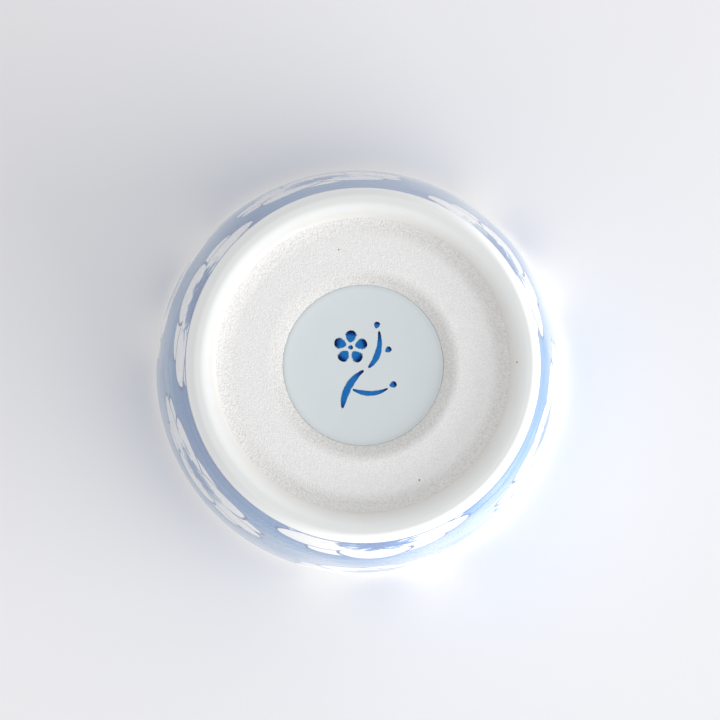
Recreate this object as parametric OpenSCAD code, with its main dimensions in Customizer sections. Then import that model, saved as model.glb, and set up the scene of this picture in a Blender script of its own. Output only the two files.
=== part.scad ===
// Porcelain teacup with a fully glazed foot ring and a recessed base.
// The cup stands upright. The origin is the centre of the plane that the foot rests on,
// and +Z points to the lip. Every piece is turned about Z, apart from the painted mark.

/* [Cup] */
// Height, from the surface that the cup stands on to the top of the lip
cup_h = 64; // [50:1:90]
// Outside diameter at the lip, over the glaze
rim_d = 80; // [66:1:110]
// How much the wall bellies out, where 0 is a straight cone
belly = 0.42; // [0:0.02:0.8]

/* [Clay] */
// Thickness of the clay wall just above the foot
wall_t = 3.0; // [1.8:0.1:4.5]
// Thickness of the clay wall at the lip
lip_t = 1.9; // [1.2:0.1:3]
// Thickness of the clay floor over the bare ring
floor_t = 4.2; // [3.2:0.1:8]
// Radius of the curve where the inside of the wall meets the floor
well_r = 10; // [6:0.5:14]

/* [Foot] */
// Outside diameter of the foot ring, over the glaze
foot_d = 65; // [54:1:78]
// Height at which the foot ring ends and the wall begins
foot_h = 4.8; // [4:0.1:9]
// Width of the foot ring, from its outside to the flat of the bare ring
foot_w = 8.8; // [7:0.1:10]
// Width of the glazed band on the foot ring, measured inwards from its outside
foot_band_w = 5.6; // [4.6:0.1:6]
// Height of the rounded outside corner of the foot ring
foot_round_h = 3.2; // [2:0.1:3.9]
// Width of the rounded outside corner of the foot ring
foot_round_w = 1.8; // [1.2:0.1:2.8]
// Width of the flat that the cup stands on
land_w = 0.7; // [0.5:0.1:1.2]

/* [Base] */
// Height of the bare ring over the surface that the cup stands on
ring_recess = 3.0; // [1.6:0.1:3.4]
// Diameter of the glazed medallion
medallion_d = 29.5; // [22:0.5:36]
// Step from the bare ring up to the edge of the medallion
medallion_step = 1.2; // [0.5:0.1:1.8]
// Width of the slope between the medallion and the bare ring
medallion_slope_w = 3.2; // [2:0.1:5]

/* [Glaze and colour] */
// Thickness of the glaze on the walls, the lip and the foot ring
glaze_t = 0.4; // [0.25:0.05:0.6]
// Width over which the edge of the foot glaze rounds off on the bare clay
glaze_edge_w = 0.5; // [0.3:0.1:0.9]
// Thickness of the medallion glaze at its centre
pool_t = 0.35; // [0.25:0.05:0.6]
// Extra thickness of the medallion glaze at its edge, where it pools
pool_rise = 0.35; // [0.1:0.05:0.6]
// Thickness of the painted cobalt under the glaze
cobalt_t = 0.1; // [0.05:0.01:0.15]
// Gap between the foot ring and the painted line over it
line_gap = 0.3; // [0.1:0.1:1.5]
// Width of the painted line over the foot ring
line_w = 1; // [0.4:0.1:1.5]
// Height left unpainted below the rounding of the lip
ground_gap = 0.8; // [0.4:0.1:3]
// Length of the painted mark on the medallion
mark_l = 16; // [10:0.5:20]

/* [Hidden] */
$fn = 96;

WALL_STEPS = 14;   // straight facets up the wall
CURVE_STEPS = 8;   // straight facets round a corner or along a slope
LIP_STEPS = 12;    // straight facets over the lip
STROKE_STEPS = 12; // straight facets along one side of a brush stroke

// Radii of the base, from the centre out
medallion_r = medallion_d / 2;
foot_r = foot_d / 2;
ring_r = foot_r - foot_w;
band_r = foot_r - foot_band_w;
land_out_r = foot_r - foot_round_w;
land_in_r = land_out_r - land_w;

// Heights, from the standing plane up
pool_edge_z = ring_recess + medallion_step;
bed_z = pool_edge_z + pool_t + pool_rise;
floor_z = ring_recess + floor_t;
line_z0 = foot_h + line_gap;
line_z1 = line_z0 + line_w;
lip_r = lip_t / 2 + glaze_t;
lip_z = cup_h - lip_r;
ground_z = lip_z - ground_gap;

// The wall. Each surface is a radius at a height z.
function wall_share(z) = (z - foot_h) / (lip_z - foot_h);
function outer_r(z) =
    let (t = wall_share(z)) foot_r + (rim_d / 2 - foot_r) * (t + belly * t * (1 - t));
function clay_r(z) = outer_r(z) - glaze_t;
function cobalt_r(z) = clay_r(z) + cobalt_t;
function inner_r(z) = clay_r(z) - wall_t + (wall_t - lip_t) * wall_share(z);

// Whole numbers of steps between two values, both ends included
function steps_between(from, to, steps) = [for (i = [0:steps]) from + (to - from) * i / steps];
function reversed(points) = [for (i = [len(points) - 1:-1:0]) points[i]];
function rest_of(points) = [for (i = [1:len(points) - 1]) points[i]];

// Points on an ellipse's arc about c, with half axes a along the radius and b along Z
function arc(c, a, b, from, to, steps) =
    [for (t = steps_between(from, to, steps)) c + [a * cos(t), b * sin(t)]];

// Half a cosine wave, from 1 down to 0
function ease(u) = (1 + cos(180 * u)) / 2;

// The curve at the bottom of the inside is tangent to the floor and to the wall.
// The floor disc ends at ring_r, so it and the wall share the curve there.
well_slope = atan(inner_r(floor_z + well_r + 0.5) - inner_r(floor_z + well_r - 0.5));
well_top_z = floor_z + well_r * (1 - sin(well_slope));
well_c = [inner_r(well_top_z) - well_r * cos(well_slope), floor_z + well_r];
well_split = -acos((ring_r - well_c[0]) / well_r);
function well_low(d) = arc(well_c, well_r - d, well_r - d, -90, well_split, CURVE_STEPS);
function well_high(d) = arc(well_c, well_r - d, well_r - d, well_split, -well_slope, CURVE_STEPS);

// The rest of the inside, up to the lip, d inside the clay's surface
inner_zs = rest_of(steps_between(well_top_z, lip_z, WALL_STEPS));
function inner_wall(d) = [for (z = inner_zs) [inner_r(z) - d, z]];

// The rounded lip, and the heights that every surface of the wall's outside shares
lip_c = [clay_r(lip_z) - lip_t / 2, lip_z];
function lip_arc(r) = arc(lip_c, r, r, 0, 180, LIP_STEPS);
paint_zs = steps_between(line_z1, ground_z, WALL_STEPS);
wall_zs = concat([foot_h, line_z0], paint_zs, [lip_z]);

// The clay's underside on the inner slope of the foot ring, as a height at radius r.
// The glaze stands off it, and ends in a rounded edge at band_r.
function foot_slope_z(r) =
    glaze_t + (ring_recess - glaze_t) * ease((r - ring_r) / (land_in_r - ring_r));
function foot_glaze_z(r) =
    foot_slope_z(r) - glaze_t * sqrt(min(1, (r - band_r) / glaze_edge_w));
bare_rs = steps_between(ring_r, band_r, CURVE_STEPS / 2);
edge_rs = rest_of(steps_between(band_r, band_r + glaze_edge_w, CURVE_STEPS / 2));
slope_rs = rest_of(steps_between(band_r + glaze_edge_w, land_in_r, CURVE_STEPS));
glazed_rs = concat(edge_rs, slope_rs);
foot_slope = [for (r = glazed_rs) [r, foot_slope_z(r)]];

// The outside of the foot ring, from the flat it stands on up to the wall, d inside the glaze
function foot_side(d) = concat(
    arc([land_out_r, foot_round_h], foot_round_w - d, foot_round_h - d, -90, 0, CURVE_STEPS),
    [[foot_r - d, foot_h]]);

// The clay floor: a disc with the medallion's bed and the bare ring underneath
module base_floor() {
    slope = [for (u = steps_between(0, 1, CURVE_STEPS))
             [medallion_r + medallion_slope_w * u,
              ring_recess + medallion_step * (1 - sin(90 * u))]];
    color("gainsboro") rotate_extrude() polygon(concat(
        [[0, floor_z], [0, bed_z], [medallion_r, bed_z]],
        slope,
        [[ring_r, ring_recess]],
        reversed(well_low(0))));
}

// The clay foot ring that the cup stands on
module foot_ring() {
    color("whitesmoke") rotate_extrude() polygon(concat(
        [[ring_r, foot_h]],
        [for (r = bare_rs) [r, foot_slope_z(r)]],
        foot_slope,
        foot_side(glaze_t)));
}

// The clay wall, from the foot ring and the floor's edge to the rounded lip
module body_wall() {
    color("white") rotate_extrude() polygon(concat(
        [[ring_r, foot_h]],
        [for (z = wall_zs) [clay_r(z), z]],
        rest_of(lip_arc(lip_t / 2)),
        rest_of(reversed(inner_wall(0))),
        reversed(well_high(0))));
}

// The glaze over the foot ring
module foot_glaze() {
    color("ghostwhite") rotate_extrude() polygon(concat(
        [[band_r, foot_slope_z(band_r)]],
        [for (r = glazed_rs) [r, foot_glaze_z(r)]],
        foot_side(0),
        reversed(foot_side(glaze_t)),
        reversed(foot_slope)));
}

// The pool of glaze in the medallion's bed, a shallow dish seen from below, cast round the mark
module medallion_glaze() {
    dish = [for (u = steps_between(0, 1, CURVE_STEPS))
            [medallion_r * u, bed_z - pool_t - pool_rise * u * u]];
    color("lightsteelblue") difference() {
        rotate_extrude() polygon(concat(dish, [[medallion_r, bed_z], [0, bed_z]]));
        mark_strokes();
    }
}

// The glaze on the outside of the wall, over the cobalt
module outer_glaze() {
    color("aliceblue") rotate_extrude() polygon(concat(
        [for (z = wall_zs) [outer_r(z), z]],
        [[clay_r(lip_z), lip_z], [clay_r(ground_z), ground_z]],
        [for (z = reversed(paint_zs)) [cobalt_r(z), z]],
        [[cobalt_r(line_z0), line_z0], [clay_r(line_z0), line_z0], [clay_r(foot_h), foot_h]]));
}

// The glaze inside the cup, over the floor and up to the lip
module inner_glaze() {
    color("mintcream") rotate_extrude() polygon(concat(
        [[0, floor_z]],
        well_low(0),
        rest_of(well_high(0)),
        inner_wall(0),
        reversed(inner_wall(glaze_t)),
        reversed(well_high(glaze_t)),
        rest_of(reversed(well_low(glaze_t))),
        [[0, floor_z + glaze_t]]));
}

// The glaze over the rounded lip
module lip_glaze() {
    color("snow") rotate_extrude() polygon(concat(lip_arc(lip_r), reversed(lip_arc(lip_t / 2))));
}

// A painted layer on the clay wall, between the first and the last of the heights in zs
module painted_layer(zs) {
    rotate_extrude() polygon(concat(
        [for (z = zs) [cobalt_r(z), z]],
        [for (z = reversed(zs)) [clay_r(z), z]]));
}

// The fine line painted just over the foot ring
module foot_line() {
    color("midnightblue") painted_layer([line_z0, line_z1]);
}

// The cobalt wash round the wall, in which the plum blossoms are left white
module cobalt_ground() {
    color("cornflowerblue") painted_layer(paint_zs);
}

// A brush stroke that bends from a past b to c, w wide in its middle and thin at its ends
function bend(a, b, c, u) = (1 - u) * (1 - u) * a + 2 * u * (1 - u) * b + u * u * c;
function side_of(a, b, c, u) =
    let (d = (1 - u) * (b - a) + u * (c - b)) [-d[1], d[0]] / norm(d);
module stroke(a, b, c, w) {
    us = steps_between(0, 1, STROKE_STEPS);
    offsets = [for (u = us) side_of(a, b, c, u) * w / 2 * (0.25 + 0.75 * sin(180 * u))];
    polygon(concat(
        [for (i = [0:STROKE_STEPS]) bend(a, b, c, us[i]) + offsets[i]],
        [for (i = [STROKE_STEPS:-1:0]) bend(a, b, c, us[i]) - offsets[i]]));
}
module dab(at, r) {
    translate(at) circle(r = r, $fn = 24);
}

// A plum sprig, drawn as it looks from below: a bent twig, a side shoot, a flower and three buds.
// The drawing below is 16 long, and k brings it to the length of the mark.
module mark_strokes() {
    k = mark_l / 16;
    flower = [-2.3, 3.3] * k;
    translate([0, 0, bed_z - cobalt_t]) linear_extrude(cobalt_t) mirror([0, 1]) {
        stroke([-3.8, -8] * k, [-3.4, -3.2] * k, [0.2, -0.9] * k, 1.3 * k);
        stroke([0.9, -0.5] * k, [3.6, 1.8] * k, [2.9, 6.4] * k, 1 * k);
        stroke([-2, -4.4] * k, [1.6, -6] * k, [4.6, -4.2] * k, 0.8 * k);
        for (i = [0:4])
            dab(flower + 2.1 * k * [cos(90 + 72 * i), sin(90 + 72 * i)], 1.05 * k);
        dab(flower, 0.45 * k);
        dab([5.5, -3.5] * k, 0.65 * k);
        dab([2.5, 7.4] * k, 0.6 * k);
        dab([4.6, 2.9] * k, 0.6 * k);
    }
}

// The mark painted on the medallion, under its glaze
module base_mark() {
    color("mediumblue") mark_strokes();
}

base_floor();
foot_ring();
body_wall();
foot_glaze();
medallion_glaze();
outer_glaze();
inner_glaze();
lip_glaze();
foot_line();
cobalt_ground();
base_mark();
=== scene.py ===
"""A porcelain teacup with cobalt plum blossoms, built zone by zone round its CAD frame.

The cup stands upright on its foot ring, with its axis on Z. Lengths are in metres.
"""
import math

import bpy
import numpy as np
from mathutils import Matrix, Vector


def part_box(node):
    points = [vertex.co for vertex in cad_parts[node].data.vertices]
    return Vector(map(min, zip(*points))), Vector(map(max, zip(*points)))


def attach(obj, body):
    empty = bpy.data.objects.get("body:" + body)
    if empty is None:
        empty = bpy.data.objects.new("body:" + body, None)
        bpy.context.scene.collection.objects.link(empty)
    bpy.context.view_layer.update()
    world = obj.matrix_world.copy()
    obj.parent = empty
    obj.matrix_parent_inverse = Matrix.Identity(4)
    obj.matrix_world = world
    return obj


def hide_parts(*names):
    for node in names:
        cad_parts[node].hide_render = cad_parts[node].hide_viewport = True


bl_info = {
    "name": "Porcelain Teacup",
    "version": (1, 0, 0),
    "blender": (4, 5, 0),
    "location": "View3D > Sidebar > Teacup",
    "description": "Builds a painted porcelain teacup, its glaze coats and a studio stage",
    "category": "Add Mesh",
}

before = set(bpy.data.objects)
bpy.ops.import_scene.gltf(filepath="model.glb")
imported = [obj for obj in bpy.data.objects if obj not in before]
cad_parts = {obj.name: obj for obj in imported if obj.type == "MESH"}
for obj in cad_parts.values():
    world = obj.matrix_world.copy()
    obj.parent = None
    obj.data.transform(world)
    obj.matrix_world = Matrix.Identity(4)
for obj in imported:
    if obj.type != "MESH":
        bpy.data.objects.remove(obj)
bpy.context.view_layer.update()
MM = 0.001
HAIR = 0.02 * MM   # what keeps two surfaces apart that would lie in one plane

# Sizes that the frame gives
CUP_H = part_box("lip_glaze")[1].z
RIM_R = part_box("lip_glaze")[1].x
LIP_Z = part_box("lip_glaze")[0].z
FOOT_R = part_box("foot_glaze")[1].x
FOOT_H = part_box("foot_glaze")[1].z
GLAZE_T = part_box("foot_ring")[0].z
RING_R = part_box("base_floor")[1].x
RING_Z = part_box("base_floor")[0].z
FLOOR_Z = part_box("inner_glaze")[0].z
MEDALLION_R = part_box("medallion_glaze")[1].x
BED_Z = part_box("medallion_glaze")[1].z
POOL_EDGE_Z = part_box("medallion_glaze")[0].z
LINE_Z = (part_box("foot_line")[0].z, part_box("foot_line")[1].z)
GROUND_TOP_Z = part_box("cobalt_ground")[1].z
LIP_R = CUP_H - LIP_Z


# ---------------------------------------------------------------- settings

class TEACUP_PG_shape(bpy.types.PropertyGroup):
    """Sizes of the turned shape"""
    segments: bpy.props.IntProperty(
        name="Segments", description="Points round the cup", default=384, min=48, max=768)
    belly: bpy.props.FloatProperty(
        name="Belly", description="How much the wall bellies out", default=0.42, min=0, max=0.8)
    wall_t: bpy.props.FloatProperty(
        name="Wall", description="Clay wall just above the foot", default=3.0 * MM, unit="LENGTH")
    lip_t: bpy.props.FloatProperty(
        name="Lip", description="Clay wall at the lip", default=1.9 * MM, unit="LENGTH")
    well_r: bpy.props.FloatProperty(
        name="Well curve", description="Curve between the inside wall and the floor",
        default=10 * MM, unit="LENGTH")
    band_w: bpy.props.FloatProperty(
        name="Glazed band", description="Width of the glazed band on the foot ring",
        default=5.6 * MM, unit="LENGTH")
    edge_w: bpy.props.FloatProperty(
        name="Glaze edge", description="Width over which the foot glaze rounds off",
        default=0.5 * MM, unit="LENGTH")
    round_w: bpy.props.FloatProperty(
        name="Foot corner width", description="Width of the foot ring's outside corner",
        default=1.8 * MM, unit="LENGTH")
    round_h: bpy.props.FloatProperty(
        name="Foot corner height", description="Height of the foot ring's outside corner",
        default=3.2 * MM, unit="LENGTH")
    land_w: bpy.props.FloatProperty(
        name="Standing flat", description="Width of the flat that the cup stands on",
        default=0.7 * MM, unit="LENGTH")
    slope_w: bpy.props.FloatProperty(
        name="Medallion slope", description="Width of the slope round the medallion",
        default=3.2 * MM, unit="LENGTH")
    pool_t: bpy.props.FloatProperty(
        name="Pool", description="Thickness of the medallion's glaze at its centre",
        default=0.35 * MM, unit="LENGTH")
    wobble: bpy.props.FloatProperty(
        name="Wobble", description="How far the turned surfaces stray from a true circle",
        default=0.05 * MM, unit="LENGTH")


class TEACUP_PG_finish(bpy.types.PropertyGroup):
    """Colours and textures of the clay, the glaze and the cobalt"""
    glaze: bpy.props.FloatVectorProperty(
        name="Glaze", description="Colour of the glazed porcelain", subtype="COLOR",
        size=3, default=(0.86, 0.87, 0.86), min=0, max=1)
    pool: bpy.props.FloatVectorProperty(
        name="Pool", description="Colour of the glaze where it lies thick", subtype="COLOR",
        size=3, default=(0.76, 0.815, 0.83), min=0, max=1)
    clay: bpy.props.FloatVectorProperty(
        name="Bare clay", description="Colour of the unglazed porcelain", subtype="COLOR",
        size=3, default=(0.905, 0.90, 0.89), min=0, max=1)
    wash: bpy.props.FloatVectorProperty(
        name="Wash", description="Colour of the cobalt wash", subtype="COLOR",
        size=3, default=(0.040, 0.200, 0.44), min=0, max=1)
    line: bpy.props.FloatVectorProperty(
        name="Line", description="Colour of a cobalt brush line", subtype="COLOR",
        size=3, default=(0.006, 0.095, 0.36), min=0, max=1)
    mark: bpy.props.FloatVectorProperty(
        name="Thin mark", description="Colour of a thin stroke of the mark", subtype="COLOR",
        size=3, default=(0.02, 0.20, 0.55), min=0, max=1)
    dark: bpy.props.FloatVectorProperty(
        name="Dark", description="Colour of cobalt where the brush pooled", subtype="COLOR",
        size=3, default=(0.003, 0.010, 0.075), min=0, max=1)
    gloss: bpy.props.FloatProperty(
        name="Glaze roughness", description="Roughness of the glaze", default=0.07, min=0, max=1)
    grain: bpy.props.FloatProperty(
        name="Grain", description="Size of the sandy grain of the bare clay",
        default=0.22 * MM, unit="LENGTH")


class TEACUP_PG_stage(bpy.types.PropertyGroup):
    """The camera, the lights and the two pale surfaces"""
    distance: bpy.props.FloatProperty(
        name="Camera distance", description="From the foot ring's plane down to the camera",
        default=0.700, unit="LENGTH")
    lens: bpy.props.FloatProperty(
        name="Lens", description="Focal length in millimetres", default=192.2, min=20)
    lean: bpy.props.FloatProperty(
        name="Lean", description="Angle between the camera's line of sight and the cup's axis",
        default=math.radians(1.59), subtype="ANGLE")
    lean_towards: bpy.props.FloatProperty(
        name="Lean towards", description="Direction of the lean, round Z from +X",
        default=math.radians(128), subtype="ANGLE")
    window_power: bpy.props.FloatProperty(
        name="Window", description="Power of the wide window light in watts", default=57.0, min=0)
    sky: bpy.props.FloatProperty(
        name="Room light", description="Strength of the even light from all round",
        default=0.77, min=0)
    table: bpy.props.FloatVectorProperty(
        name="Table", description="Colour of the pale table and floor", subtype="COLOR",
        size=3, default=(0.90, 0.895, 0.905), min=0, max=1)


# ---------------------------------------------------------------- the turned surfaces

def ease(u):
    """Half a cosine wave, from 1 at u = 0 down to 0 at u = 1."""
    return (1 + np.cos(np.pi * u)) / 2


def outer_radius(z, shape):
    """Radius of the glazed outside at height z: the foot ring's radius, plus the flare times
    t + belly t (1 - t), where t is the share of the wall's height. The height above the foot
    ring is softened, so that the wall leaves the foot ring in a small curve."""
    soft = 0.35 * MM
    above = soft * np.logaddexp(0, (z - FOOT_H) / soft)
    t = above / (LIP_Z - FOOT_H)
    return FOOT_R + (RIM_R - FOOT_R) * (t + shape.belly * t * (1 - t))


def inner_radius(z, shape):
    """Radius of the glazed inside at height z: the outside less two coats of glaze and the
    clay wall, which thins evenly from the foot ring up to the lip."""
    t = (z - FOOT_H) / (LIP_Z - FOOT_H)
    return outer_radius(z, shape) - 2 * GLAZE_T - shape.wall_t + (shape.wall_t - shape.lip_t) * t


def foot_slope(r, shape):
    """Height of the bare clay at radius r on the foot ring's inner slope: half a cosine wave
    from the bare ring down to the clay under the standing flat."""
    land_in = FOOT_R - shape.round_w - shape.land_w
    return GLAZE_T + (RING_Z - GLAZE_T) * ease((r - RING_R) / (land_in - RING_R))


def arc(centre, radius, start, stop, steps):
    """Points (r, z) on a circle round centre, with angles in radians."""
    a = np.linspace(start, stop, steps)
    return np.stack([centre[0] + radius[0] * np.cos(a), centre[1] + radius[1] * np.sin(a)], 1)


def softened(points, passes=3):
    """Eases the corners of an outline: each point moves to the mean of itself and the middle
    of its two neighbours, a few times over. The two ends stay."""
    for _ in range(passes):
        points[1:-1] = 0.25 * points[:-2] + 0.5 * points[1:-1] + 0.25 * points[2:]
    return points


def glaze_outline(shape):
    """The glaze's whole surface as one outline of (r, z) points, from its edge on the bare clay,
    under and up the foot ring, up the wall, over the lip and down to the middle of the inside.
    Returns the points and the first and last row of each zone."""
    band_r = FOOT_R - shape.band_w
    land_out = FOOT_R - shape.round_w
    land_in = land_out - shape.land_w
    u = np.linspace(0, 1, 10)
    edge_r = band_r + shape.edge_w * u ** 2
    edge = np.stack([edge_r, foot_slope(edge_r, shape) - GLAZE_T * u], 1)
    slope_r = np.linspace(band_r + shape.edge_w, land_in, 26)
    slope = np.stack([slope_r, foot_slope(slope_r, shape) - GLAZE_T], 1)
    land = np.stack([np.linspace(land_in, land_out, 7), np.zeros(7)], 1)
    corner = arc((land_out, shape.round_h), (shape.round_w, shape.round_h), -np.pi / 2, 0, 26)
    side_z = np.linspace(shape.round_h, FOOT_H, 12)
    side = np.stack([outer_radius(side_z, shape), side_z], 1)
    wall_z = np.linspace(FOOT_H, LIP_Z, 170)
    wall = np.stack([outer_radius(wall_z, shape), wall_z], 1)
    lip_c = (wall[-1, 0] - LIP_R, LIP_Z)
    lip = arc(lip_c, (LIP_R, LIP_R), 0, np.pi, 40)
    bottom = FLOOR_Z + GLAZE_T
    turn_z = FLOOR_Z + shape.well_r
    rise = inner_radius(turn_z + MM, shape) - inner_radius(turn_z - MM, shape)
    lean = math.atan(rise / (2 * MM))
    well = shape.well_r - GLAZE_T
    top_z = FLOOR_Z + shape.well_r * (1 - math.sin(lean))
    centre_r = inner_radius(top_z, shape) + GLAZE_T - shape.well_r * math.cos(lean)
    inside_z = np.linspace(LIP_Z, top_z, 90)
    inside = np.stack([inner_radius(inside_z, shape), inside_z], 1)
    curve = arc((centre_r, bottom + well), (well, well), -lean, -np.pi / 2, 36)
    floor_r = np.linspace(centre_r, 0, 30)
    floor = np.stack([floor_r, np.full(30, bottom)], 1)
    parts = {"foot": [edge, slope, land, corner, side], "wall": [wall], "lip": [lip],
             "inside": [inside, curve, floor]}
    points, zones, start = [edge[:1]], {}, 0
    for zone, pieces in parts.items():
        rows = sum(len(p) - 1 for p in pieces)
        points += [p[1:] for p in pieces]
        zones[zone] = (start, start + rows)
        start += rows
    return softened(np.concatenate(points)), zones


def clay_outline(shape):
    """The underside of the clay as an outline of (r, z) points, from the medallion's bed, out
    over the slope, the bare ring and the foot ring's inner slope, to just under the glaze. The
    slope round the medallion is a quarter of a sine wave, steepest at the medallion."""
    wall_z = np.linspace(BED_Z, POOL_EDGE_Z, 4)
    bed = np.stack([np.full(4, MEDALLION_R), wall_z], 1)
    u = np.linspace(0, 1, 28)
    step = POOL_EDGE_Z - RING_Z
    slope = np.stack([MEDALLION_R + shape.slope_w * u,
                      RING_Z + step * (1 - np.sin(np.pi / 2 * u))], 1)
    ring_r = np.linspace(MEDALLION_R + shape.slope_w, RING_R, 46)
    ring = np.stack([ring_r, np.full(46, RING_Z)], 1)
    foot_r = np.linspace(RING_R, FOOT_R - shape.band_w + shape.edge_w, 18)
    foot = np.stack([foot_r, foot_slope(foot_r, shape)], 1)
    floor_rows = len(bed) + len(slope) + len(ring) - 3
    points = np.concatenate([bed, slope[1:], ring[1:], foot[1:]])
    return points, {"floor": (0, floor_rows), "foot": (floor_rows, len(points) - 1)}


def ripple(angle, along, size, seed, waves=7):
    """A smooth stray of up to about size: the sum of cosines with a few turns round the cup and
    a few waves along the outline, each with its own phase."""
    rng = np.random.default_rng(seed)
    total = np.zeros(np.broadcast(angle, along).shape)
    for turns in range(2, 2 + waves):
        lean, phase, phase_along = rng.uniform(0, 2 * np.pi, 3)
        total += np.cos(turns * angle + lean) * np.cos(along * rng.uniform(40, 260) + phase) / turns
        total += 0.2 * np.cos(along * rng.uniform(500, 1400) + phase_along) / turns
    return size * total


def turned(points, segments, stray=None):
    """Turns an outline of (r, z) points about Z into a grid of points, rows x columns x 3, with
    the unit normals of its left side. The normal is the cross product of the step round the cup
    and the step along the outline. stray moves the grid along its first normals."""
    angle = np.linspace(0, 2 * np.pi, segments, endpoint=False)
    r, z = points[:, :1], points[:, 1:]
    grid = np.stack([r * np.cos(angle), r * np.sin(angle), z + 0 * angle], 2)
    if stray is not None:
        grid = grid + normals_of(grid) * stray[..., None]
    return grid, normals_of(grid)


def normals_of(grid):
    """Unit normals of a grid whose columns close on themselves. A row at the axis takes the mean
    normal of its neighbours."""
    round_ = np.roll(grid, -1, 1) - np.roll(grid, 1, 1)
    along = np.gradient(grid, axis=0)
    normal = np.cross(round_, along)
    size = np.linalg.norm(normal, axis=2, keepdims=True)
    normal = normal / np.maximum(size, 1e-15)
    for row, beside in ((0, 1), (-1, -2)):
        if np.ptp(grid[row], axis=0).max() < 1e-7:
            normal[row] = normal[beside].mean(0) / np.linalg.norm(normal[beside].mean(0))
    return normal


# ---------------------------------------------------------------- meshes

def closed_mesh(name, rows, normals, material, hard=()):
    """Makes a closed mesh out of rings of points, rows x columns x 3. Each ring closes on itself.
    If the first and last rings are single points, they are the poles; if not, the last ring
    joins the first. The steps after the rows in hard are flat faces with sharp edges."""
    n, m = rows.shape[:2]
    pole = [np.ptp(rows[k], axis=0).max() < 1e-7 for k in (0, -1)]
    poles = pole[0] and pole[1]
    ids = np.arange(n * m).reshape(n, m)
    steps = n - 1 if poles else n
    a = ids[:steps]
    d = np.roll(ids, -1, 0)[:steps]
    b, c = np.roll(a, -1, 1), np.roll(d, -1, 1)
    quads = np.stack([a, b, c, d], 2)
    step_of = np.broadcast_to(np.arange(steps)[:, None], (steps, m))
    across = np.stack([np.arange(m), np.arange(m) + 1, np.arange(m) + 1, np.arange(m)], 1) / m
    up = np.stack([np.arange(steps), np.arange(steps), np.arange(steps) + 1,
                   np.arange(steps) + 1], 1) / steps
    uv = np.stack(np.broadcast_arrays(across[None], up[:, None]), 3)
    corners, counts, uvs, owner = [], [], [], []
    for k in range(steps):
        keep = [0, 1, 2, 3]
        if poles and k == 0:
            keep = [0, 2, 3]
        if poles and k == steps - 1:
            keep = [0, 1, 3]
        corners.append(quads[k][:, keep].reshape(-1))
        uvs.append(uv[k][:, keep].reshape(-1, 2))
        counts.append(np.full(m, len(keep)))
        owner.append(step_of[k])
    corners, uvs = np.concatenate(corners), np.concatenate(uvs)
    counts, owner = np.concatenate(counts), np.concatenate(owner)
    points = rows.reshape(-1, 3)
    bends = normals.reshape(-1, 3)[corners]
    if poles:
        corners = np.where(corners < m, 0, corners)
        corners = np.where(corners >= (n - 1) * m, (n - 1) * m, corners)
        used, corners = np.unique(corners, return_inverse=True)
        points = points[used]
    starts = np.concatenate([[0], np.cumsum(counts)[:-1]])
    mesh = bpy.data.meshes.new(name)
    mesh.vertices.add(len(points))
    mesh.vertices.foreach_set("co", points.astype(np.float32).ravel())
    mesh.loops.add(len(corners))
    mesh.loops.foreach_set("vertex_index", corners.astype(np.int32))
    mesh.polygons.add(len(counts))
    mesh.polygons.foreach_set("loop_start", starts.astype(np.int32))
    mesh.polygons.foreach_set("loop_total", counts.astype(np.int32))
    mesh.update(calc_edges=True)
    layer = mesh.uv_layers.new(name="UVMap")
    layer.uv.foreach_set("vector", uvs.astype(np.float32).ravel())
    flat = np.repeat(np.isin(owner, hard), counts)
    face_n = np.zeros(len(counts) * 3, np.float32)
    mesh.polygons.foreach_get("normal", face_n)
    bends = np.where(flat[:, None], np.repeat(face_n.reshape(-1, 3), counts, 0), bends)
    mesh.normals_split_custom_set(bends.astype(np.float32))
    mesh.materials.append(material)
    piece = bpy.data.objects.new(name, mesh)
    bpy.context.scene.collection.objects.link(piece)
    return piece


def coat(name, grid, normals, depth, material):
    """A closed coat: the grid is its outside, and its back lies depth under it, with one row
    for every four of the outside's."""
    every = np.unique(np.append(np.arange(0, len(grid), 4), len(grid) - 1))[::-1]
    rows = np.concatenate([(grid - normals * depth)[every], grid])
    bends = np.concatenate([-normals[every], normals])
    return closed_mesh(name, rows, bends, material, hard=(len(every) - 1, len(rows) - 1))


def glaze_zone(context, name, zone, material):
    """One zone of the glaze: its own rows of the surface that all the zones share."""
    shape = context.scene.teacup_shape
    points, zones = glaze_outline(shape)
    angle = np.linspace(0, 2 * np.pi, shape.segments, endpoint=False)
    steps = np.linalg.norm(np.diff(points, axis=0), axis=1)
    along = np.concatenate([[0], np.cumsum(steps)])[:, None]
    calm = np.clip(points[:, :1] / (8 * MM), 0, 1) * np.clip(points[:, 1:] / (2 * MM), 0, 1)
    stray = ripple(angle[None], along, shape.wobble, seed=3) * calm
    grid, normals = turned(points, shape.segments, stray)
    first, last = zones[zone]
    depth = 0.9 * GLAZE_T
    return coat(name, grid[first:last + 1], normals[first:last + 1], depth, material)


# ---------------------------------------------------------------- shader maths

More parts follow.
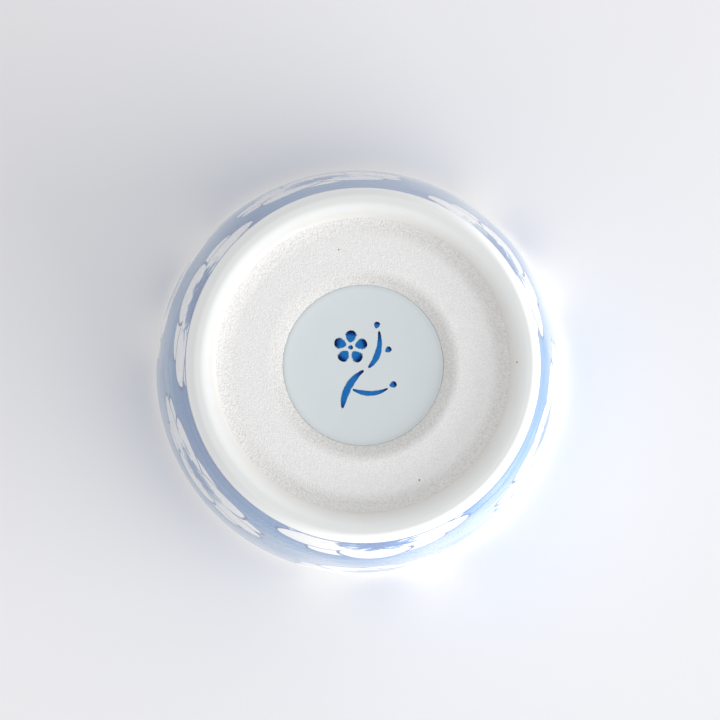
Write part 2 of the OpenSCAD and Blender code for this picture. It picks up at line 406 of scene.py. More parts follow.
class Value:
    """The output of a node, used like a number: an expression on it adds Math nodes."""

    def __init__(self, shader, socket):
        self.shader, self.socket = shader, socket

    def math(self, operation, *others, clamp=False):
        settings = {"operation": operation, "use_clamp": clamp}
        inputs = dict(enumerate((self,) + others))
        return self.shader.add("ShaderNodeMath", settings, inputs)

    def __add__(self, other):
        return self.math("ADD", other)

    def __sub__(self, other):
        return self.math("SUBTRACT", other)

    def __rsub__(self, other):
        inputs = {0: other, 1: self}
        return self.shader.add("ShaderNodeMath", {"operation": "SUBTRACT"}, inputs)

    def __mul__(self, other):
        return self.math("MULTIPLY", other)

    def __truediv__(self, other):
        return self.math("DIVIDE", other)

    def __pow__(self, other):
        return self.math("POWER", other)

    def __abs__(self):
        return self.math("ABSOLUTE")

    __radd__, __rmul__ = __add__, __mul__

    def most(self, other):
        return self.math("MAXIMUM", other)

    def wrapped(self, low, high):
        """Brings the value between low and high by adding whole multiples of their difference."""
        return self.math("WRAP", high, low)

    def rising(self, low, high):
        """0 up to low, 1 from high on, and straight between them. low may be the larger."""
        return ((self - low) / (high - low)).math("ADD", 0.0, clamp=True)


class Shader:
    """A new material and the means to add its nodes."""

    def __init__(self, name):
        self.material = bpy.data.materials.new(name)
        self.material.use_nodes = True
        self.tree = self.material.node_tree
        self.tree.nodes.clear()

    def add(self, kind, settings=None, inputs=None, output=0):
        """Adds a node of a type, sets its settings and then its inputs, which are values, links
        or plain numbers by name, identifier or place. Returns one of its outputs."""
        node = self.tree.nodes.new(kind)
        for key, value in (settings or {}).items():
            if key == "stops":
                self._set_stops(node.color_ramp, value)
            else:
                setattr(node, key, value)
        for key, value in (inputs or {}).items():
            socket = self._find(node.inputs, key)
            if isinstance(value, Value):
                self.tree.links.new(value.socket, socket)
            else:
                socket.default_value = value
        if output is None:
            return node
        return Value(self, self._find(node.outputs, output))

    @staticmethod
    def _find(sockets, key):
        for socket in sockets:
            if key in (socket.identifier, socket.name):
                return socket
        return sockets[key]

    @staticmethod
    def _set_stops(ramp, stops):
        while len(ramp.elements) < len(stops):
            ramp.elements.new(1.0)
        for element, (place, colour) in zip(ramp.elements, stops):
            element.position = place
            element.color = (*colour, 1.0)

    def place(self):
        """The Object coordinates, as a vector."""
        return self.add("ShaderNodeTexCoord", output="Object")

    def parts(self, vector):
        """The three numbers of a vector."""
        split = self.add("ShaderNodeSeparateXYZ", inputs={"Vector": vector})
        outputs = split.socket.node.outputs
        return [Value(self, outputs[k]) for k in range(3)]

    def noise(self, vector, size, detail=2.0, stretch=(1, 1, 1)):
        """Noise of about 0 to 1 whose lumps are about size across, in metres."""
        scale = tuple(s / size for s in stretch)
        scaled = self.add("ShaderNodeVectorMath", {"operation": "MULTIPLY"},
                          {0: vector, 1: scale})
        return self.add("ShaderNodeTexNoise", {"noise_dimensions": "3D"},
                        {"Vector": scaled, "Scale": 1.0, "Detail": detail}, "Fac")

    def blend(self, share, first, second):
        """A colour share of the way from first to second, each a colour or a link."""
        inputs = {"Factor_Float": share}
        for key, colour in (("A_Color", first), ("B_Color", second)):
            inputs[key] = colour if isinstance(colour, Value) else (*colour, 1.0)
        return self.add("ShaderNodeMix", {"data_type": "RGBA"}, inputs, "Result_Color")

    def bump(self, height, distance):
        """The normal of a surface that the height lifts by up to distance, in metres."""
        return self.add("ShaderNodeBump", {}, {"Height": height, "Distance": distance}, "Normal")

    def surface(self, **inputs):
        """Ends the material in a Principled BSDF with these inputs, underscores for spaces."""
        named = {key.replace("_", " "): value for key, value in inputs.items()}
        for key, value in named.items():
            if isinstance(value, tuple) and len(value) == 3 and "Color" in key:
                named[key] = (*value, 1.0)
        bsdf = self.add("ShaderNodeBsdfPrincipled", {}, named)
        self.add("ShaderNodeOutputMaterial", {}, {"Surface": bsdf}, output=None)
        return self.material


# ---------------------------------------------------------------- finishes

def glaze_gloss(shader, place, finish):
    """The glaze's roughness and its faint unevenness, which any glazed piece shares."""
    rough = finish.gloss * (0.7 + 0.6 * shader.noise(place, 6 * MM))
    waves = shader.noise(place, 3.5 * MM, detail=1.0)
    return rough, shader.bump(waves, 0.02 * MM)


GLAZE_IOR = 1.5
# Kiln specks on the base: radius in mm, angle in degrees, size in mm, colour
SPECKS = (
    (21.6, 258.0, 0.24, (0.55, 0.26, 0.06)),
    (28.0, 359.0, 0.20, (0.24, 0.08, 0.05)),
    (23.4, 64.0, 0.22, (0.06, 0.055, 0.05)),
    (14.3, 79.0, 0.24, (0.10, 0.08, 0.06)),
)


def speckled(shader, place, colour):
    """The colour with the kiln specks on it, each a small soft dot."""
    x, y, _ = shader.parts(place)
    for radius, turn, size, tint in SPECKS:
        at = math.radians(turn)
        dx = x - radius * MM * math.cos(at)
        dy = y - radius * MM * math.sin(at)
        gap = (dx * dx + dy * dy) ** 0.5
        colour = shader.blend(gap.rising(size * MM, 0.3 * size * MM), colour, tint)
    return colour


def plain_glaze(name, finish, thin_r=None):
    """White glazed porcelain, a little cooler where the glaze lies thicker. From the radius
    thin_r outwards, where the glaze ends on the bare clay, it starts thin and faintly warm."""
    shader = Shader(name)
    place = shader.place()
    rough, normal = glaze_gloss(shader, place, finish)
    thick = shader.noise(place, 14 * MM).rising(0.35, 0.75)
    tint = tuple(0.8 * g + 0.2 * p for g, p in zip(finish.glaze, finish.pool))
    colour = shader.blend(thick, tuple(finish.glaze), tint)
    if thin_r is not None:
        x, y, _ = shader.parts(place)
        reach = (x * x + y * y) ** 0.5 + (shader.noise(place, 4 * MM) - 0.5) * 0.8 * MM
        thin = reach.rising(thin_r + 2.0 * MM, thin_r + 0.2 * MM) * 0.85
        colour = shader.blend(thin, colour, (0.74, 0.725, 0.69))
        colour = speckled(shader, place, colour)
    return shader.surface(Base_Color=colour, Roughness=rough, Normal=normal, IOR=GLAZE_IOR)


def pooled_glaze(name, finish):
    """The medallion's thick glaze: pale blue-grey, cooler still close to its edge."""
    shader = Shader(name)
    place = shader.place()
    x, y, _ = shader.parts(place)
    reach = (x * x + y * y) ** 0.5 / MEDALLION_R
    rough, normal = glaze_gloss(shader, place, finish)
    edge = reach.rising(0.93, 1.0) * 0.6 + shader.noise(place, 5 * MM) * 0.25
    deep = tuple(0.86 * p for p in finish.pool)
    colour = shader.blend(edge, tuple(finish.pool), deep)
    return shader.surface(Base_Color=colour, Roughness=rough, Normal=normal, IOR=GLAZE_IOR)


CLAY_IOR = 1.5
INNER_SLOPE = (17.9 * MM, 16.3 * MM)   # radii between which the sand turns coarse and the painted shade comes in, inwards
OUTER_SLOPE = (23.4 * MM, 25.2 * MM)   # the same, outwards
# colour of the sand's dark pitting and of the painted shade on the two slopes
PIT_AND_SHADE = (0.56, 0.55, 0.52)
GLINT = (0.96, 0.96, 0.95)


def bare_clay(name, finish):
    """Unglazed porcelain: pale, matt and finely sandy, with a few bright grains. The sand lies
    coarser and darkly pitted on the two slopes than on the flat ring between them, and the
    slopes are darkened all over with painted shade for the shade of the recess."""
    shader = Shader(name)
    place = shader.place()
    x, y, _ = shader.parts(place)
    reach = (x * x + y * y) ** 0.5
    slopes = reach.rising(*INNER_SLOPE) + reach.rising(*OUTER_SLOPE)
    sand = shader.noise(place, finish.grain, detail=2.0)
    coarse = shader.noise(place, 1.9 * finish.grain, detail=2.0)
    lumps = shader.noise(place, 9 * finish.grain, detail=2.0)
    tone = (sand.rising(0.34, 0.66) * 0.7 + lumps * 0.3).rising(0.05, 0.95)
    low = tuple(0.93 * c for c in finish.clay)
    high = tuple(min(1.0, 1.07 * c) for c in finish.clay)
    colour = shader.blend(tone, low, high)
    # painted shade: on the slopes the clay is darkened by a constant share, and more where it is
    # pitted, for the shade in the recess and between the grains
    pits_and_shade = coarse.rising(0.52, 0.36) * 0.26 + 0.34
    colour = shader.blend(pits_and_shade * slopes, colour, PIT_AND_SHADE)
    glint = shader.noise(place, 1.3 * finish.grain, detail=0.0).rising(0.64, 0.76)
    colour = shader.blend(glint * 0.55, colour, GLINT)
    colour = speckled(shader, place, colour)
    rough = 0.82 - glint * 0.45
    normal = shader.bump(sand + coarse * (0.4 + slopes * 0.6), 0.12 * MM)
    return shader.surface(Base_Color=colour, Roughness=rough, Normal=normal, IOR=CLAY_IOR)


# The blossoms on the wall: angle round Z in degrees, height and reach in mm, turn in degrees
BLOSSOMS = (
    (-39.5, 8.6, 20.0, 92.0),
    (-157.0, 8.4, 20.2, 88.0),
    (85.6, 8.3, 21.0, 90.0),
    (-103.0, 34.0, 17.4, 93.0),
    (146.2, 34.2, 17.4, 90.0),
    (18.6, 35.0, 18.0, 87.0),
    (-39.5, 58.5, 15.5, 90.0),
    (-156.0, 59.5, 15.0, 94.0),
    (84.6, 57.0, 16.0, 88.0),
)
# The two layers of petals, the back one first: lean in degrees, then half length, half width
# and distance of the middle of a petal as shares of the blossom's reach
PETALS = ((36.0, 0.38, 0.30, 0.60), (0.0, 0.43, 0.335, 0.57))
PAINT_R = 36.5 * MM   # the radius at which angles are turned into lengths
SQUAT = 0.9           # height of a blossom as a share of its width
SHADE_SIDE = -158.0    # the angle in degrees of the side turned away from the window, where the wash is darker as painted shade


class Brush:
    """What every stroke on the wall is drawn with: the place on the wall as an angle and a
    height, and a slow shake that stands for the painter's hand."""

    def __init__(self, shader):
        place = shader.place()
        x, y, z = shader.parts(place)
        self.shader, self.place = shader, place
        self.angle = y.math("ARCTAN2", x)
        self.height = z
        self.shake = [(shader.noise(place, size, detail=1.0) - 0.5) * 2.6 * MM
                      for size in (9 * MM, 10.5 * MM)]
        self.press = shader.noise(place, 5 * MM, detail=1.0)


def blossom(brush, ink, angle, height, reach, turn):
    """Paints one plum blossom over the ink so far, and returns the new ink.

    The place is turned into a distance and an angle round the flower's middle, and the angle is
    folded into one fifth of a turn, so that one petal stands for all five of its layer. A petal
    is an ellipse: inside it the ink is wiped, and on its edge there is a brush line. Over the
    petals a fan of dry strokes, which is noise along the direction from the middle, fades
    outwards, and a ring and dotted stamens are drawn."""
    shader = brush.shader
    across = (brush.angle - math.radians(angle)).wrapped(-math.pi, math.pi) * PAINT_R
    across = across + brush.shake[0]
    up = (brush.height - height * MM) / SQUAT + brush.shake[1]
    far = (across * across + up * up) ** 0.5
    round_ = up.math("ARCTAN2", across) - math.radians(turn)
    size = reach * MM
    stroke = (0.22 + 0.26 * brush.press) * MM
    weight = 0.80 + 0.26 * brush.press
    for lean, long, wide, out in PETALS:
        fold = (round_ + math.radians(lean)).wrapped(-math.pi / 5, math.pi / 5)
        along = far * fold.math("COSINE") - out * size
        aside = far * fold.math("SINE")
        rim = (((along / long) ** 2 + (aside / wide) ** 2) ** 0.5 - size) * (long + wide) / 2
        line = (abs(rim) - stroke).rising(0.14 * MM, -0.08 * MM)
        ink = ink * rim.rising(-0.12 * MM, 0.12 * MM)
        ink = ink.most(line * weight)
    ink = ink * far.rising(0.1 * size, 0.2 * size)
    way = shader.add("ShaderNodeCombineXYZ", {}, {
        "X": across / far, "Y": up / far, "Z": far / (9 * MM) + reach})
    streak = shader.noise(way, 0.3, detail=2.5)
    fade = far.rising(0.60 * size, 0.08 * size)
    fan = (fade * 1.35 + (streak - 0.5) * 2.3 - 0.45).rising(0.0, 0.6) * 0.82
    ring = (abs(far - 0.075 * size) - 0.26 * MM).rising(0.16 * MM, -0.1 * MM)
    spoke = round_.wrapped(-math.pi / 9, math.pi / 9)
    beside = abs(far * spoke.math("SINE"))
    thread = (beside - 0.1 * MM).rising(0.12 * MM, 0.0)
    thread = thread * far.rising(0.12 * size, 0.15 * size) * far.rising(0.36 * size, 0.33 * size)
    tip = ((far * spoke.math("COSINE") - 0.36 * size) ** 2 + beside ** 2) ** 0.5
    tip = tip.rising(0.55 * MM, 0.36 * MM)
    drawn = (ring * 1.1).most(thread * 0.8).most(tip)
    return ink.most(fan).most(drawn * weight)


def painted_glaze(name, finish):
    """The wall's glaze over the painting. One number, the ink, says how much cobalt lies at a
    place: none on the white petals, some in the wash, which is laid on thickest over the foot
    and under the lip and is darker on the side turned away from the window as painted shade,
    and much in a line."""
    shader = Shader(name)
    brush = Brush(shader)
    place, z = brush.place, brush.height
    drag = shader.noise(place, 2.2 * MM, detail=3.0, stretch=(0.16, 0.16, 1.0))
    hair = shader.noise(place, 0.6 * MM, detail=2.0, stretch=(0.06, 0.06, 1.0))
    cloud = shader.noise(place, 16 * MM, detail=2.0)
    # painted shade: more ink in the wash on the side turned away from the window
    side = (brush.angle - math.radians(SHADE_SIDE)).math("COSINE")
    load = 0.62 + 0.08 * side - 0.20 * z.rising(12 * MM, 32 * MM)
    load = load + 0.10 * z.rising(54 * MM, 61 * MM)
    ink = load + 0.30 * (drag - 0.5) + 0.24 * (hair - 0.5) + 0.34 * (cloud - 0.5)
    edge = GROUND_TOP_Z + (shader.noise(place, 5 * MM) - 0.5) * 0.8 * MM
    ink = ink * (edge - z).rising(-0.1 * MM, 0.25 * MM)
    for flower in BLOSSOMS:
        ink = blossom(brush, ink, *flower)
    middle = (LINE_Z[0] + LINE_Z[1]) / 2
    half = (LINE_Z[1] - LINE_Z[0]) / 2
    off = abs(z - middle + brush.shake[0] * 0.05)
    ink = ink * (z - middle).rising(-half, 0.0)
    ink = ink.most((off - half).rising(0.14 * MM, -0.12 * MM) * (0.78 + 0.3 * brush.press))
    rough, normal = glaze_gloss(shader, place, finish)
    thin = tuple(0.52 * g + 0.48 * w for g, w in zip(finish.glaze, finish.wash))
    stops = [(0.0, tuple(finish.glaze)), (0.25, thin), (0.55, tuple(finish.wash)),
             (0.85, tuple(finish.line)), (1.0, tuple(finish.dark))]
    colour = shader.add("ShaderNodeValToRGB", {"stops": stops}, {"Fac": ink}, "Color")
    return shader.surface(Base_Color=colour, Roughness=rough, Normal=normal, IOR=GLAZE_IOR,
                          Specular_IOR_Level=0.3)


def brush_mark(name, finish):
    """Cobalt brush strokes under the medallion's glaze. The ink attribute says how much cobalt
    lies at a place, and the edge attribute, 1 at a stroke's edge, lets it bleed out softly."""
    shader = Shader(name)
    place = shader.place()
    ink = shader.add("ShaderNodeAttribute", {"attribute_name": "ink"}, output="Fac")
    edge = shader.add("ShaderNodeAttribute", {"attribute_name": "edge"}, output="Fac")
    ink = ink + (shader.noise(place, 0.45 * MM, detail=2.0) - 0.5) * 0.5
    thin = tuple(0.45 * a + 0.55 * b for a, b in zip(finish.line, finish.mark))
    stops = [(0.1, tuple(finish.mark)), (0.42, thin), (0.62, tuple(finish.line)),
             (0.9, tuple(finish.dark))]
    colour = shader.add("ShaderNodeValToRGB", {"stops": stops}, {"Fac": ink}, "Color")
    bleed = edge + (shader.noise(place, 0.3 * MM) - 0.5) * 0.3
    rough, normal = glaze_gloss(shader, place, finish)
    return shader.surface(Base_Color=colour, Roughness=rough, Normal=normal, IOR=GLAZE_IOR,
                          Alpha=bleed.rising(1.02, 0.7))


# ---------------------------------------------------------------- the pieces

class TEACUP_OT_foot_glaze(bpy.types.Operator):
    """Add the glaze over the foot ring"""
    bl_idname = "teacup.foot_glaze"
    bl_label = "Foot glaze"

    def execute(self, context):
        scene = context.scene
        thin_r = FOOT_R - scene.teacup_shape.band_w
        material = plain_glaze("foot_glaze", scene.teacup_finish, thin_r)
        piece = glaze_zone(context, "foot_ring_glaze", "foot", material)
        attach(piece, "root")
        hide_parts("foot_glaze")
        return {"FINISHED"}


class TEACUP_OT_wall_glaze(bpy.types.Operator):
    """Add the painted glaze on the outside of the wall"""
    bl_idname = "teacup.wall_glaze"
    bl_label = "Painted wall"

    def execute(self, context):
        material = painted_glaze("painted_glaze", context.scene.teacup_finish)
        piece = glaze_zone(context, "painted_wall_glaze", "wall", material)
        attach(piece, "root")
        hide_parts("outer_glaze", "cobalt_ground", "foot_line")
        return {"FINISHED"}


class TEACUP_OT_lip_glaze(bpy.types.Operator):
    """Add the glaze over the lip"""
    bl_idname = "teacup.lip_glaze"
    bl_label = "Lip glaze"

    def execute(self, context):
        material = plain_glaze("lip_glaze", context.scene.teacup_finish)
        piece = glaze_zone(context, "rounded_lip_glaze", "lip", material)
        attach(piece, "root")
        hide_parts("lip_glaze")
        return {"FINISHED"}


class TEACUP_OT_inside_glaze(bpy.types.Operator):
    """Add the glaze inside the cup"""
    bl_idname = "teacup.inside_glaze"
    bl_label = "Inside glaze"

    def execute(self, context):
        material = plain_glaze("inside_glaze", context.scene.teacup_finish)
        piece = glaze_zone(context, "cup_inside_glaze", "inside", material)
        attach(piece, "root")
        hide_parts("inner_glaze")
        return {"FINISHED"}


class TEACUP_OT_bare_clay(bpy.types.Operator):
    """Add the bare clay of the base: the floor with its ring, and the foot ring's inner slope"""
    bl_idname = "teacup.bare_clay"
    bl_label = "Bare clay"

    def execute(self, context):
        scene = context.scene
        shape, finish = scene.teacup_shape, scene.teacup_finish
        points, zones = clay_outline(shape)
        segments = 2 * shape.segments
        angle = np.linspace(0, 2 * np.pi, segments, endpoint=False)
        stray = ripple(angle[None], points[:, :1], 0.6 * shape.wobble, seed=11)
        grid, normals = turned(points, segments, stray)
        material = bare_clay("bare_clay", finish)
        for zone, node, top in (("floor", "base_floor", FLOOR_Z), ("foot", "foot_ring", FOOT_H)):
            first, last = zones[zone]
            front, bends = grid[first:last + 1], normals[first:last + 1]
            back = front[-1:].copy() if zone == "floor" else front[[0, -1]]
            back[..., 2] = top
            if zone == "floor":
                axis = np.zeros((2, segments, 3))
                axis[:, :, 2] = np.array([BED_Z, top])[:, None]
                rows = np.concatenate([axis[:1], front, back[::-1], axis[1:]])
            else:
                rows = np.concatenate([front, back[::-1]])
            flat = np.zeros_like(rows)
            lead = int(zone == "floor")
            flat[lead:lead + len(front)] = bends
            steps = np.arange(len(rows))
            hard = steps[(steps < lead) | (steps >= lead + len(front) - 1)]
            piece = closed_mesh(node + "_clay", rows, flat, material, hard=hard)
            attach(piece, "root")
            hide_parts(node)
        return {"FINISHED"}


class TEACUP_OT_body_wall(bpy.types.Operator):
    """Give the clay wall, which the glaze hides, its own bare finish"""
    bl_idname = "teacup.body_wall"
    bl_label = "Clay wall"

    def execute(self, context):
        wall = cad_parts["body_wall"]
        wall.data.materials.clear()
        wall.data.materials.append(bare_clay("wall_clay", context.scene.teacup_finish))
        return {"FINISHED"}


def pool_z(r, shape):
    """Height of the medallion's glaze at radius r: a dish that is a parabola plus a sixth power
    close to its edge, where the last bit rounds away in a quarter of an ellipse."""
    middle, u = BED_Z - shape.pool_t, r / MEDALLION_R
    dish = middle + (POOL_EDGE_Z - middle) * (0.45 * u ** 2 + 0.55 * u ** 8)
    bead = np.clip((r - MEDALLION_R) / shape.edge_w + 1, 0, 1)
    return dish + 0.2 * MM * (1 - np.sqrt(1 - bead ** 2))


class TEACUP_OT_medallion(bpy.types.Operator):
    """Add the pool of glaze in the middle of the base"""
    bl_idname = "teacup.medallion"
    bl_label = "Medallion glaze"

    def execute(self, context):
        scene = context.scene
        shape = scene.teacup_shape
        inner = MEDALLION_R - shape.edge_w
        bead = inner + shape.edge_w * np.sin(np.linspace(0, np.pi / 2, 12))
        r = np.concatenate([np.linspace(0, inner, 60)[:-1], bead])
        front, bends = turned(np.stack([r, pool_z(r, shape)], 1), shape.segments)
        back = front[[-1, 0]]
        back[..., 2] = BED_Z
        rows = np.concatenate([front, back])
        flat = np.concatenate([bends, np.zeros_like(back)])
        material = pooled_glaze("pooled_glaze", scene.teacup_finish)
        hard = np.arange(len(front) - 1, len(rows))
        piece = closed_mesh("medallion_pool", rows, flat, material, hard=hard)
        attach(piece, "root")
        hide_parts("medallion_glaze")
        return {"FINISHED"}


# The strokes of the mark, as it looks from below: start, bend, end and width in mm
TWIGS = (
    ((-3.8, -8.0), (-3.4, -3.2), (0.2, -0.9), 1.5),
    ((0.9, -0.5), (3.6, 1.8), (2.9, 6.4), 1.25),
    ((-2.0, -4.4), (1.6, -6.0), (4.6, -4.2), 1.05),
)
FLOWER = (-2.3, 3.3)
FLOWER_R, PETAL_R = 2.05, 1.08           # of the ring of petals, and of one petal
PETAL_LEANS = (-7, 4, -3, 6, 0)          # in degrees, one for each petal
# Dabs of the brush: middle and radius in mm, and the direction in degrees that it was drawn in
BUDS = ((5.5, -3.5, 0.65, 20.0), (2.5, 7.4, 0.6, 75.0), (4.6, 2.9, 0.6, 35.0), (*FLOWER, 0.45, 0.0))


def sprig_strokes():
    """Every stroke of the plum sprig as (start, bend, end, width, dab), where dab is 0 for a
    line and 1 for a dab, which is a drop that is fat at its end."""
    strokes = [(*twig, 0.0) for twig in TWIGS]
    dabs = list(BUDS)
    for k, lean in enumerate(PETAL_LEANS):
        turn = 90 + 72 * k
        a = math.radians(turn)
        middle = (FLOWER[0] + FLOWER_R * math.cos(a), FLOWER[1] + FLOWER_R * math.sin(a))
        dabs.append((*middle, PETAL_R, turn + lean))
    for x, y, r, turn in dabs:
        dx, dy = r * math.cos(math.radians(turn)), r * math.sin(math.radians(turn))
        strokes.append(((x - 1.12 * dx, y - 1.12 * dy), (x + 0.12 * dy, y - 0.12 * dx),
                        (x + dx, y + dy), 2 * r, 1.0))
    return strokes


def stroke_grid(start, bend, end, width, dab, shape, rings=34, around=20):
    """A brush stroke as rings of points. Its middle line is a quadratic Bezier curve. A line's
    half width is a sine wave over a thin end, rounded at both ends. A dab's is half a circle
    that is pushed towards its end. Each ring is a flat ellipse that lies half in the medallion's
    surface. Returns the rings with their ink and their nearness to the stroke's edge."""
    u = np.linspace(0, 1, rings)[:, None]
    a, b, c = (np.array(p) * MM * np.array([1, -1]) for p in (start, bend, end))
    middle = (1 - u) ** 2 * a + 2 * u * (1 - u) * b + u ** 2 * c
    tangent = (1 - u) * (b - a) + u * (c - b)
    tangent /= np.linalg.norm(tangent, axis=1, keepdims=True)
    aside = np.stack([-tangent[:, 1], tangent[:, 0]], 1)
    pushed = u ** 1.35
    bowl = np.sqrt(np.clip(1 - (2 * pushed - 1) ** 2, 0, 1))
    ends = np.minimum(1, np.sqrt(np.clip(u * (1 - u), 0, 1) * 30))
    shake = 1 + 0.07 * np.sin(23 * u + 90 * start[0]) * np.sin(9 * u + 40 * start[1])
    thin = (0.30 + 0.70 * np.sin(np.pi * u ** 0.85)) * ends
    half = width * MM / 2 * (bowl if dab else thin) * shake
    turn = np.linspace(0, 2 * np.pi, around, endpoint=False)[None]
    x = middle[:, :1] + aside[:, :1] * half * np.cos(turn)
    y = middle[:, 1:] + aside[:, 1:] * half * np.cos(turn)
    lift = 0.03 * MM * np.minimum(1, half / (0.1 * MM))
    z = pool_z(np.hypot(x, y), shape) + lift * np.sin(turn)
    near = np.maximum(np.abs(np.cos(turn)) + 0 * u, np.abs(2 * u - 1) ** 6 + 0 * turn)
    pooled = np.clip((u - 0.45) / 0.35, 0, 1) if dab else np.clip((u - 0.7) / 0.25, 0, 1)
    pooled = np.maximum(pooled, 0 if dab else 0.9 * np.clip(1 - u * 5, 0, 1))
    ink = 0.28 + 0.12 * near ** 3 + 0.62 * pooled + 0 * turn
    return np.stack([x, y, z], 2), ink, near


class TEACUP_OT_base_mark(bpy.types.Operator):
    """Add the painted plum sprig on the medallion"""
    bl_idname = "teacup.base_mark"
    bl_label = "Base mark"

    def execute(self, context):
        scene = context.scene
        material = brush_mark("cobalt_mark", scene.teacup_finish)
        parts = []
        for stroke in sprig_strokes():
            grid, *shades = stroke_grid(*stroke, scene.teacup_shape)
            piece = closed_mesh("base_sprig", grid, normals_of(grid), material)
            for key, shade in zip(("ink", "edge"), shades):
                inner = shade[1:-1].ravel()
                values = np.concatenate([shade[0, :1], inner, shade[-1, :1]])
                layer = piece.data.attributes.new(key, "FLOAT", "POINT")
                layer.data.foreach_set("value", values.astype(np.float32))
            parts.append(piece)
        with context.temp_override(active_object=parts[0], selected_editable_objects=parts):
            bpy.ops.object.join()
        sprig = parts[0]
        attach(sprig, "root")
        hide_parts("base_mark")
        return {"FINISHED"}


# ---------------------------------------------------------------- the stage

TARGET = Vector((-0.58 * MM, -0.95 * MM, 4 * MM))   # what the camera looks at
WINDOW_PLACE = Vector((1.30, 0.72, 0.04))
WINDOW_SIZE = (2.1, 1.26)                            # width and height
TABLE_R, FLOOR_R, CARD_R = 0.5, 4.0, 0.16
CARD_BEHIND = 20 * MM                                # from the camera to the dark card behind it
CARD_COLOUR = (0.03, 0.03, 0.03)
SKY_COLOUR = (0.985, 0.985, 1.0, 1.0)


def one_sided(name, colour):
    """A matt surface that shows only its front, so that it doesn't hide the cup from behind."""
    shader = Shader(name)
    front = shader.add("ShaderNodeBsdfDiffuse", {}, {"Color": (*colour, 1.0)})
    back = shader.add("ShaderNodeBsdfTransparent")
    behind = shader.add("ShaderNodeNewGeometry", output="Backfacing")
    mixed = shader.add("ShaderNodeMixShader", {}, {0: behind, 1: front, 2: back})
    shader.add("ShaderNodeOutputMaterial", {}, {"Surface": mixed}, output=None)
    return shader.material


def stage_disc(name, z, hole, radius, upwards, material, rings=24, around=128):
    """A flat ring round the cup at height z, facing up or down."""
    angle = np.linspace(0, 2 * np.pi, around, endpoint=False)
    if not upwards:
        angle = -angle
    r = np.geomspace(hole, radius, rings)[:, None]
    points = np.stack([r * np.cos(angle), r * np.sin(angle), np.full((rings, around), z)], 2)
    ids = np.arange(rings * around).reshape(rings, around)
    a, d = ids[:-1], ids[1:]
    faces = np.stack([a, d, np.roll(d, -1, 1), np.roll(a, -1, 1)], 2).reshape(-1, 4)
    mesh = bpy.data.meshes.new(name)
    mesh.from_pydata(points.reshape(-1, 3), [], faces)
    mesh.materials.append(material)
    disc = bpy.data.objects.new(name, mesh)
    bpy.context.scene.collection.objects.link(disc)
    return disc


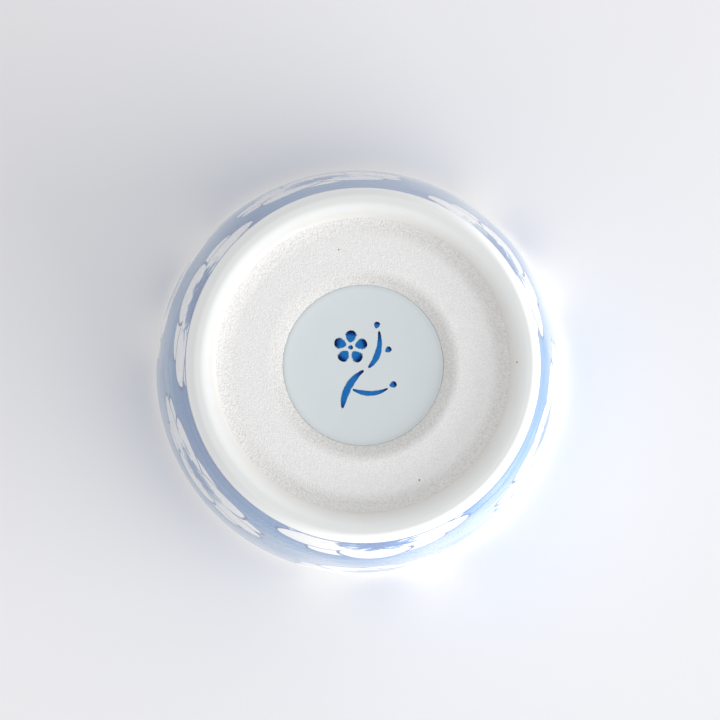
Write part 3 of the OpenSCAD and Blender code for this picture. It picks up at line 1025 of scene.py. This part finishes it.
class TEACUP_OT_stage(bpy.types.Operator):
    """Set up the camera under the cup, the window light, the room light and the pale surfaces"""
    bl_idname = "teacup.stage"
    bl_label = "Stage"

    def execute(self, context):
        scene = context.scene
        stage = scene.teacup_stage
        camera = bpy.data.objects.new("camera", bpy.data.cameras.new("camera"))
        scene.collection.objects.link(camera)
        scene.camera = camera
        camera.data.lens = stage.lens
        camera.data.sensor_width = 36
        off = stage.distance * math.tan(stage.lean)
        spot = Vector((off * math.cos(stage.lean_towards), off * math.sin(stage.lean_towards),
                       -stage.distance))
        ahead = (TARGET - spot).normalized()
        right = ahead.cross(Vector((0, -1, 0))).normalized()
        up = right.cross(ahead)
        camera.matrix_world = Matrix.Translation(spot) @ Matrix(
            (right, up, -ahead)).transposed().to_4x4()
        camera.data.clip_start, camera.data.clip_end = 0.01, 20

        paper = one_sided("pale_surface", stage.table)
        table = stage_disc("table", CUP_H + HAIR, RIM_R - LIP_R, TABLE_R, False, paper)
        table.visible_shadow = False
        table.visible_diffuse = False
        floor = stage_disc("floor", -HAIR, 0.1 * MM, FLOOR_R, True, paper)
        for ray in ("visible_shadow", "visible_diffuse", "visible_glossy",
                    "visible_transmission"):
            setattr(floor, ray, False)

        card = stage_disc("dark_card", -stage.distance - CARD_BEHIND, 1 * MM, CARD_R, True,
                          one_sided("dark_card", CARD_COLOUR))
        for ray in ("visible_camera", "visible_shadow", "visible_diffuse",
                    "visible_transmission"):
            setattr(card, ray, False)

        lamp = bpy.data.lights.new("window", "AREA")
        lamp.shape = "RECTANGLE"
        lamp.size, lamp.size_y = WINDOW_SIZE
        lamp.energy = stage.window_power
        window = bpy.data.objects.new("window", lamp)
        scene.collection.objects.link(window)
        window.location = WINDOW_PLACE
        window.rotation_euler = (-WINDOW_PLACE).to_track_quat("-Z", "Y").to_euler()

        world = bpy.data.worlds.new("room")
        scene.world = world
        world.use_nodes = True
        room = world.node_tree.nodes["Background"]
        room.inputs["Color"].default_value = SKY_COLOUR
        room.inputs["Strength"].default_value = stage.sky
        scene.view_settings.view_transform = "Standard"
        return {"FINISHED"}


class TEACUP_PT_panel(bpy.types.Panel):
    """Lists the steps that build the cup"""
    bl_label = "Teacup"
    bl_idname = "TEACUP_PT_panel"
    bl_space_type = "VIEW_3D"
    bl_region_type = "UI"
    bl_category = "Teacup"

    def draw(self, context):
        for group in ("teacup_shape", "teacup_finish", "teacup_stage"):
            box = self.layout.box()
            settings = getattr(context.scene, group)
            for key in settings.__annotations__:
                box.prop(settings, key)
        for step in STEPS:
            self.layout.operator(step.bl_idname)


GROUPS = {"teacup_shape": TEACUP_PG_shape, "teacup_finish": TEACUP_PG_finish,
          "teacup_stage": TEACUP_PG_stage}
STEPS = (TEACUP_OT_bare_clay, TEACUP_OT_body_wall, TEACUP_OT_foot_glaze, TEACUP_OT_wall_glaze,
         TEACUP_OT_lip_glaze, TEACUP_OT_inside_glaze, TEACUP_OT_medallion, TEACUP_OT_base_mark,
         TEACUP_OT_stage)


def register():
    """Adds the settings, the operators and the panel to Blender."""
    for cls in (*GROUPS.values(), *STEPS, TEACUP_PT_panel):
        bpy.utils.register_class(cls)
    for name, group in GROUPS.items():
        setattr(bpy.types.Scene, name, bpy.props.PointerProperty(type=group))


def unregister():
    """Takes them out again, in the other order."""
    for name in GROUPS:
        delattr(bpy.types.Scene, name)
    for cls in reversed((*GROUPS.values(), *STEPS, TEACUP_PT_panel)):
        bpy.utils.unregister_class(cls)


def main():
    """Builds the whole cup and its stage."""
    register()
    bpy.ops.teacup.bare_clay()
    bpy.ops.teacup.body_wall()
    bpy.ops.teacup.foot_glaze()
    bpy.ops.teacup.wall_glaze()
    bpy.ops.teacup.lip_glaze()
    bpy.ops.teacup.inside_glaze()
    bpy.ops.teacup.medallion()
    bpy.ops.teacup.base_mark()
    bpy.ops.teacup.stage()


if __name__ == "__main__":
    main()
